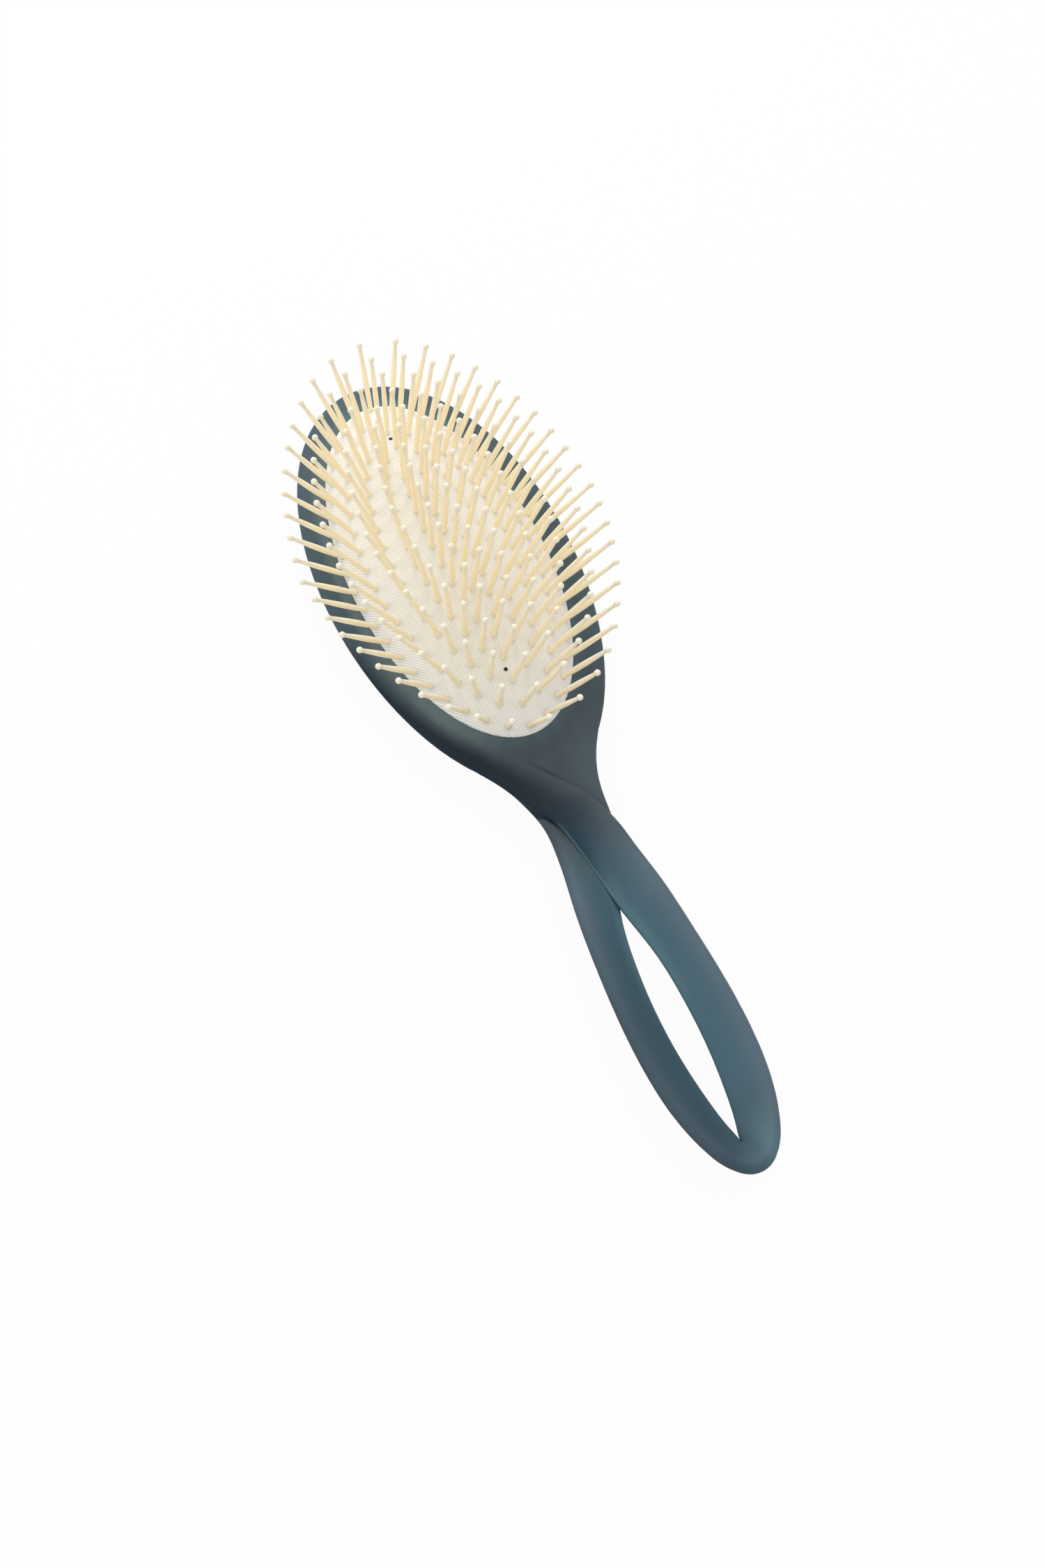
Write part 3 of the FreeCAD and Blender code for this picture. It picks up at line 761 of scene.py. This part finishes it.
class PinFinish(bpy.types.PropertyGroup):
    colour: bpy.props.FloatVectorProperty(
        name="Colour", description="Body colour of the pins", subtype="COLOR",
        default=srgb(255, 243, 212), min=0.0, max=1.0)
    colour_shade: bpy.props.FloatVectorProperty(
        name="Shade", description="Second shade that clouds the body colour", subtype="COLOR",
        default=srgb(253, 238, 204), min=0.0, max=1.0)
    colour_tip: bpy.props.FloatVectorProperty(
        name="Tip colour", description="Shade of the ball tips", subtype="COLOR",
        default=srgb(242, 234, 212), min=0.0, max=1.0)
    roughness: bpy.props.FloatProperty(
        name="Roughness", description="Roughness of the pins",
        subtype="FACTOR", default=0.6, min=0.0, max=1.0)
    uneven: bpy.props.FloatProperty(
        name="Uneven", description="How far the faint cloud changes the roughness",
        subtype="FACTOR", default=0.08, min=0.0, max=1.0)
    cloud_share: bpy.props.FloatProperty(
        name="Cloud share", description="How far the faint cloud goes to the second shade",
        subtype="FACTOR", default=0.5, min=0.0, max=1.0)
    cloud_depth: bpy.props.FloatProperty(
        name="Cloud depth", description="Depth of the faint cloud as relief",
        unit="LENGTH", default=0.01 * MM)
    length: bpy.props.FloatProperty(
        name="Length", description="From the cushion to the middle of the ball",
        unit="LENGTH", default=19.7 * MM)
    root: bpy.props.FloatProperty(
        name="Root", description="Length hidden under the cushion", unit="LENGTH", default=1.5 * MM)
    base: bpy.props.FloatProperty(
        name="Base", description="Diameter at the cushion", unit="LENGTH", default=1.2 * MM)
    belly: bpy.props.FloatProperty(
        name="Belly", description="Diameter of the swell", unit="LENGTH", default=1.55 * MM)
    belly_share: bpy.props.FloatProperty(
        name="Belly place", description="Height of the swell as a share of the length",
        subtype="FACTOR", default=0.38, min=0.0, max=1.0)
    neck: bpy.props.FloatProperty(
        name="Neck", description="Diameter below the ball", unit="LENGTH", default=1.0 * MM)
    ball: bpy.props.FloatProperty(
        name="Ball", description="Diameter of the ball tip", unit="LENGTH", default=1.7 * MM)
    lean_across: bpy.props.FloatProperty(
        name="Lean across", description="Lean as a share of the dome's slope, across the brush",
        subtype="FACTOR", default=0.87, min=0.0, max=2.0)
    lean_along: bpy.props.FloatProperty(
        name="Lean along", description="Lean as a share of the dome's slope, along the brush",
        subtype="FACTOR", default=0.76, min=0.0, max=2.0)
    stray: bpy.props.FloatProperty(
        name="Stray", description="How far a pin may lean off its line", subtype="ANGLE",
        default=math.radians(0.6))
    seed: bpy.props.IntProperty(name="Seed", description="Seed of the stray lean", default=4)


class StageSettings(bpy.types.PropertyGroup):
    focal: bpy.props.FloatProperty(
        name="Focal length", description="Focal length on a 36 mm long side", unit="CAMERA", default=44.78)
    world: bpy.props.FloatProperty(
        name="World", description="Strength of the even light from all round",
        subtype="FACTOR", default=0.8, min=0.0, max=2.0)
    key: bpy.props.FloatProperty(
        name="Key", description="Power of the large lamp beyond the head's tip", unit="POWER", default=3.3)
    side: bpy.props.FloatProperty(
        name="Side", description="Power of the soft lamp at the upper left", unit="POWER", default=0.8)
    floor_drop: bpy.props.FloatProperty(
        name="Floor drop", description="Gap between the brush and the floor",
        unit="LENGTH", default=0.02 * MM)


class BRUSH_OT_frame(bpy.types.Operator):
    """Dress the moulded frame"""

    bl_idname = "brush.frame"
    bl_label = "Frame"

    def execute(self, context):
        settings = context.scene.brush_frame
        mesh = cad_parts["frame"].data.copy()
        mesh.name = "frame_moulding"
        mesh.materials.clear()
        mesh.materials.append(frosted_plastic(settings))
        piece = bpy.data.objects.new("frame_moulding", mesh)
        context.scene.collection.objects.link(piece)
        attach(piece, BODY)
        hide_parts("frame")
        return {"FINISHED"}


class BRUSH_OT_cushion(bpy.types.Operator):
    """Build the domed rubber cushion, closed, with its bead under the frame's lip"""

    bl_idname = "brush.cushion"
    bl_label = "Cushion"

    rings = 84
    inner_rings = 20
    segments = 240

    # The dent round each pin's foot, in millimetres: flat, then fading out, and how deep; and a
    # distance that counts as far from every foot
    root_flat = 0.5
    root_fade = 0.9
    root_depth = 0.12
    root_far = 9.0

    def section(self, wall):
        """Rows down the outside and up the inside: share of the way out, height and offset."""
        rows = []
        for k in range(1, self.rings + 1):
            share = math.sin(math.pi / 2.0 * k / self.rings)
            rows.append((share, CUSHION_HEIGHT * (1.0 - share * share) ** CUSHION_POWER, 0.0))
        for height, out in BEAD_PROFILE:
            rows.append((1.0, height, out))
        rows.append((1.0, BEAD_PROFILE[-1][0], -wall))
        for k in range(self.inner_rings, 0, -1):
            share = math.sin(math.pi / 2.0 * k / self.inner_rings)
            rows.append((share, (CUSHION_HEIGHT - wall) * (1.0 - share * share) ** CUSHION_POWER, -wall))
        return rows

    def shell(self, rows, wall):
        """Points and faces of the closed shell, from the middle of the dome's top to the one below it."""
        half_width = CUSHION_SIZES[0] - FIT_GAP
        half_length = CUSHION_SIZES[1] - FIT_GAP
        points = [(0.0, CUSHION_CENTRE_Y, CUSHION_HEIGHT)]
        for share, height, out in rows:
            for n in range(self.segments):
                angle = 2.0 * math.pi * n / self.segments
                x = (half_width + out) * share * math.sin(angle)
                y = (half_length + out) * share * math.cos(angle)
                points.append((x, CUSHION_CENTRE_Y + y, height))
        points.append((0.0, CUSHION_CENTRE_Y, CUSHION_HEIGHT - wall))
        faces = []
        last = 1 + (len(rows) - 1) * self.segments
        for n in range(self.segments):
            following = (n + 1) % self.segments
            faces.append((0, 1 + following, 1 + n))
            for row in range(1, last, self.segments):
                below = row + self.segments
                faces.append((row + n, row + following, below + following, below + n))
            faces.append((last + n, last + following, len(points) - 1))
        return points, faces

    def root_shares(self, points):
        """How much each point belongs to a pin's foot, from 0 to 1, leading the dent and the painted shadow
        there; inside points don't.
        """
        feet = pin_feet()
        shares = []
        for index, (x, y, z) in enumerate(points):
            near = self.root_far
            if index <= self.rings * self.segments:
                near = min((Vector((x, y)) - foot).length for foot in feet)
            shares.append(max(0.0, 1.0 - max(0.0, near - self.root_flat) / self.root_fade))
        return shares

    def execute(self, context):
        settings = context.scene.brush_cushion
        wall = settings.wall / MM
        points, faces = self.shell(self.section(wall), wall)
        roots = self.root_shares(points)
        dented = [(x, y, z - self.root_depth * root * root) for (x, y, z), root in zip(points, roots)]
        piece = mesh_object("air_cushion", dented, faces, woven_rubber(settings))
        # The root shares also lead the painted shadow round each pin's foot
        attribute = piece.data.attributes.new("root", "FLOAT", "POINT")
        attribute.data.foreach_set("value", roots)
        work = bmesh.new()
        work.from_mesh(piece.data)
        bmesh.ops.recalc_face_normals(work, faces=work.faces)
        work.to_mesh(piece.data)
        work.free()
        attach(piece, BODY)
        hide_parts("cushion")
        return {"FINISHED"}


def pin_profile(settings):
    """Heights and radii up one pin, in millimetres from the cushion's surface."""
    base = settings.base / MM / 2.0
    belly = settings.belly / MM / 2.0
    neck = settings.neck / MM / 2.0
    ball = settings.ball / MM / 2.0
    length = settings.length / MM
    neck_height = length - math.sqrt(ball * ball - neck * neck)
    profile = [(-settings.root / MM, base), (0.0, base)]
    for share in SHANK_ROWS:
        height = share * neck_height
        if share <= settings.belly_share:
            radius = between(base, belly, math.sin(math.pi / 2.0 * share / settings.belly_share))
        else:
            down = (share - settings.belly_share) / (1.0 - settings.belly_share)
            radius = between(belly, neck, 1.0 - math.cos(math.pi / 2.0 * down) ** SHANK_POWER)
        profile.append((height, radius))
    profile.append((neck_height, neck))
    for degrees in BALL_ROWS:
        angle = math.radians(degrees)
        profile.append((length + ball * math.sin(angle), ball * math.cos(angle)))
    return profile, length + ball


def one_pin(settings):
    """The mesh of a single pin along +Z, with its height as an attribute."""
    profile, top = pin_profile(settings)
    points = []
    for height, radius in profile:
        for n in range(PIN_SIDES):
            angle = 2.0 * math.pi * n / PIN_SIDES
            points.append((radius * MM * math.cos(angle), radius * MM * math.sin(angle), height * MM))
    points.append((0.0, 0.0, top * MM))
    faces = [tuple(range(PIN_SIDES - 1, -1, -1))]
    last = (len(profile) - 1) * PIN_SIDES
    for row in range(0, last, PIN_SIDES):
        above = row + PIN_SIDES
        for n in range(PIN_SIDES):
            following = (n + 1) % PIN_SIDES
            faces.append((row + n, row + following, above + following, above + n))
    for n in range(PIN_SIDES):
        faces.append((last + n, last + (n + 1) % PIN_SIDES, len(points) - 1))
    mesh = bpy.data.meshes.new("single_pin")
    mesh.from_pydata(points, [], faces)
    for polygon in mesh.polygons[1:]:
        polygon.use_smooth = True
    heights = mesh.attributes.new("height", "FLOAT", "POINT")
    heights.data.foreach_set("value", [max(0.0, p[2] / (top * MM)) for p in points])
    return bpy.data.objects.new("single_pin", mesh)


class Tree(Nodes):
    """A geometry tree and its named inputs."""

    def __init__(self, name):
        super().__init__(bpy.data.node_groups.new(name, "GeometryNodeTree"))
        self.sockets = {}
        self.tree.interface.new_socket("Geometry", in_out="INPUT", socket_type="NodeSocketGeometry")
        self.tree.interface.new_socket("Geometry", in_out="OUTPUT", socket_type="NodeSocketGeometry")

    def input(self, name, kind, default=None):
        socket = self.tree.interface.new_socket(name, in_out="INPUT", socket_type=kind)
        if default is not None:
            socket.default_value = default
        self.sockets[name] = socket.identifier


def pin_tree():
    """Stands one pin on every foot, along that foot's lean, with a small stray turn."""
    tree = Tree("pin field")
    tree.input("Pin", "NodeSocketObject")
    tree.input("Stray", "NodeSocketFloat", 0.01)
    tree.input("Seed", "NodeSocketInt", 0)
    tree.input("Material", "NodeSocketMaterial")
    entry = tree.node("NodeGroupInput").outputs
    pin = tree.node("GeometryNodeObjectInfo", None, {"Object": entry["Pin"]})
    lean = tree.node("GeometryNodeInputNamedAttribute", {"data_type": "FLOAT_VECTOR"}, {"Name": "lean"})
    along = tree.node("FunctionNodeAlignRotationToVector", {"axis": "Z"},
                      {"Vector": lean.outputs["Attribute"]})
    least = tree.node("ShaderNodeMath", {"operation": "MULTIPLY"}, {0: entry["Stray"], 1: -1.0})
    low = tree.node("ShaderNodeCombineXYZ", None, {0: least.outputs[0], 1: least.outputs[0], 2: -math.pi})
    high = tree.node("ShaderNodeCombineXYZ", None, {0: entry["Stray"], 1: entry["Stray"], 2: math.pi})
    stray = tree.node("FunctionNodeRandomValue", {"data_type": "FLOAT_VECTOR"},
                      {0: low.outputs[0], 1: high.outputs[0], "Seed": entry["Seed"]})
    turned = tree.node("FunctionNodeRotateRotation", {"rotation_space": "LOCAL"},
                       {"Rotation": along.outputs[0], "Rotate By": stray.outputs[0]})
    stand = tree.node("GeometryNodeInstanceOnPoints", None,
                      {"Points": entry["Geometry"], "Instance": pin.outputs["Geometry"],
                       "Rotation": turned.outputs[0]})
    real = tree.node("GeometryNodeRealizeInstances", None, {"Geometry": stand.outputs[0]})
    painted = tree.node("GeometryNodeSetMaterial", None,
                        {"Geometry": real.outputs[0], "Material": entry["Material"]})
    tree.node("NodeGroupOutput", None, {"Geometry": painted.outputs[0]})
    return tree


class BRUSH_OT_pins(bpy.types.Operator):
    """Stand the pins in their rings"""

    bl_idname = "brush.pins"
    bl_label = "Pins"

    # Fewer faces than this to a pin mean that the node tree has failed
    least_faces = 20

    def lean(self, foot, settings):
        """The direction in which a pin stands, by the dome's slope at its foot."""
        step = 0.05
        x, y = foot
        slope_x = (dome_height(x + step, y) - dome_height(x - step, y)) / (2.0 * step)
        slope_y = (dome_height(x, y + step) - dome_height(x, y - step)) / (2.0 * step)
        return Vector((-settings.lean_across * slope_x, -settings.lean_along * slope_y, 1.0)).normalized()

    def execute(self, context):
        settings = context.scene.brush_pins
        feet = pin_feet()
        points = [(foot.x, foot.y, dome_height(*foot)) for foot in feet]
        piece = mesh_object("pin_field", points, [])
        lean = piece.data.attributes.new("lean", "FLOAT_VECTOR", "POINT")
        lean.data.foreach_set("vector", [v for foot in feet for v in self.lean(foot, settings)])
        pin = one_pin(settings)
        context.scene.collection.objects.link(pin)
        material = cream_plastic(settings)
        tree = pin_tree()
        modifier = piece.modifiers.new("pin field", "NODES")
        modifier.node_group = tree.tree
        values = {"Pin": pin, "Stray": settings.stray, "Seed": settings.seed, "Material": material}
        for name, value in values.items():
            modifier[tree.sockets[name]] = value
        evaluated = piece.evaluated_get(context.evaluated_depsgraph_get())
        mesh = bpy.data.meshes.new_from_object(evaluated)
        piece.modifiers.clear()
        piece.data = mesh
        mesh.materials.clear()
        mesh.materials.append(material)
        bpy.data.objects.remove(pin)
        if len(mesh.polygons) < len(feet) * self.least_faces:
            raise RuntimeError("the pin field came out with too few faces")
        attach(piece, BODY)
        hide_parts(*[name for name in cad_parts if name.startswith("pins_")])
        return {"FINISHED"}


class BRUSH_OT_stage(bpy.types.Operator):
    """Set the white ground, the soft lamps and the camera"""

    bl_idname = "brush.stage"
    bl_label = "Stage"

    # The camera's place, and the directions it looks in and has on its right
    camera_place = (-126.427, -246.844, 427.931)
    camera_look = (0.24663, 0.37888, -0.89198)
    camera_right = (0.90814, -0.41167, 0.07623)

    # The lamps' places, like the camera's in millimetres, and their diameters in metres
    key_place = (150.0, 620.0, 560.0)
    key_size = 0.7
    side_place = (-560.0, 160.0, 460.0)
    side_size = 0.6

    # Half the floor's width, in metres
    floor_half = 3.0

    def lamp(self, context, name, where, size, power):
        """A round soft lamp that shines on the middle of the cushion."""
        light = bpy.data.lights.new(name, "AREA")
        light.shape = "DISK"
        light.size = size
        light.energy = power
        lamp = bpy.data.objects.new(name, light)
        lamp.location = place(*where)
        aim = place(0.0, 0.0, 0.0) - lamp.location
        lamp.rotation_euler = aim.to_track_quat("-Z", "Y").to_euler()
        context.scene.collection.objects.link(lamp)

    def execute(self, context):
        settings = context.scene.brush_stage
        scene = context.scene
        half = self.floor_half
        floor_mesh = bpy.data.meshes.new("ground")
        corners = [(x, y, -settings.floor_drop)
                   for x, y in ((-half, -half), (half, -half), (half, half), (-half, half))]
        floor_mesh.from_pydata(corners, [], [(0, 1, 2, 3)])
        floor_mesh.materials.append(white_ground())
        floor = bpy.data.objects.new("ground", floor_mesh)
        scene.collection.objects.link(floor)
        scene.world = white_world(settings.world)
        self.lamp(context, "key", self.key_place, self.key_size, settings.key)
        self.lamp(context, "side", self.side_place, self.side_size, settings.side)
        look = Vector(self.camera_look).normalized()
        right = Vector(self.camera_right).normalized()
        up = right.cross(look)
        camera_data = bpy.data.cameras.new("camera")
        camera_data.sensor_width = 36.0
        camera_data.sensor_fit = "AUTO"
        camera_data.lens = settings.focal
        camera_data.clip_start = 0.01
        camera_data.clip_end = 20.0
        camera = bpy.data.objects.new("camera", camera_data)
        turn = Matrix((right, up, -look)).transposed().to_4x4()
        camera.matrix_world = Matrix.Translation(place(*self.camera_place)) @ turn
        scene.collection.objects.link(camera)
        scene.camera = camera
        scene.view_settings.view_transform = "Standard"
        return {"FINISHED"}


class BRUSH_PT_panel(bpy.types.Panel):
    """Lists the pieces of the brush"""

    bl_idname = "BRUSH_PT_panel"
    bl_label = "Oval Pin Brush"
    bl_space_type = "VIEW_3D"
    bl_region_type = "UI"
    bl_category = "Brush"

    def draw(self, context):
        for operator, group in PIECES:
            box = self.layout.box()
            box.operator(operator.bl_idname)
            settings = getattr(context.scene, group)
            for name in settings.__annotations__:
                box.prop(settings, name)


GROUPS = (
    ("brush_frame", FrameFinish),
    ("brush_cushion", CushionFinish),
    ("brush_pins", PinFinish),
    ("brush_stage", StageSettings),
)
PIECES = (
    (BRUSH_OT_frame, "brush_frame"),
    (BRUSH_OT_cushion, "brush_cushion"),
    (BRUSH_OT_pins, "brush_pins"),
    (BRUSH_OT_stage, "brush_stage"),
)
CLASSES = [group for name, group in GROUPS] + [operator for operator, name in PIECES] + [BRUSH_PT_panel]


def register():
    for item in CLASSES:
        bpy.utils.register_class(item)
    for name, group in GROUPS:
        setattr(bpy.types.Scene, name, bpy.props.PointerProperty(type=group))


def unregister():
    for name, group in GROUPS:
        delattr(bpy.types.Scene, name)
    for item in reversed(CLASSES):
        bpy.utils.unregister_class(item)


def main():
    register()
    bpy.ops.brush.frame()
    bpy.ops.brush.cushion()
    bpy.ops.brush.pins()
    bpy.ops.brush.stage()


if __name__ == "__main__":
    main()
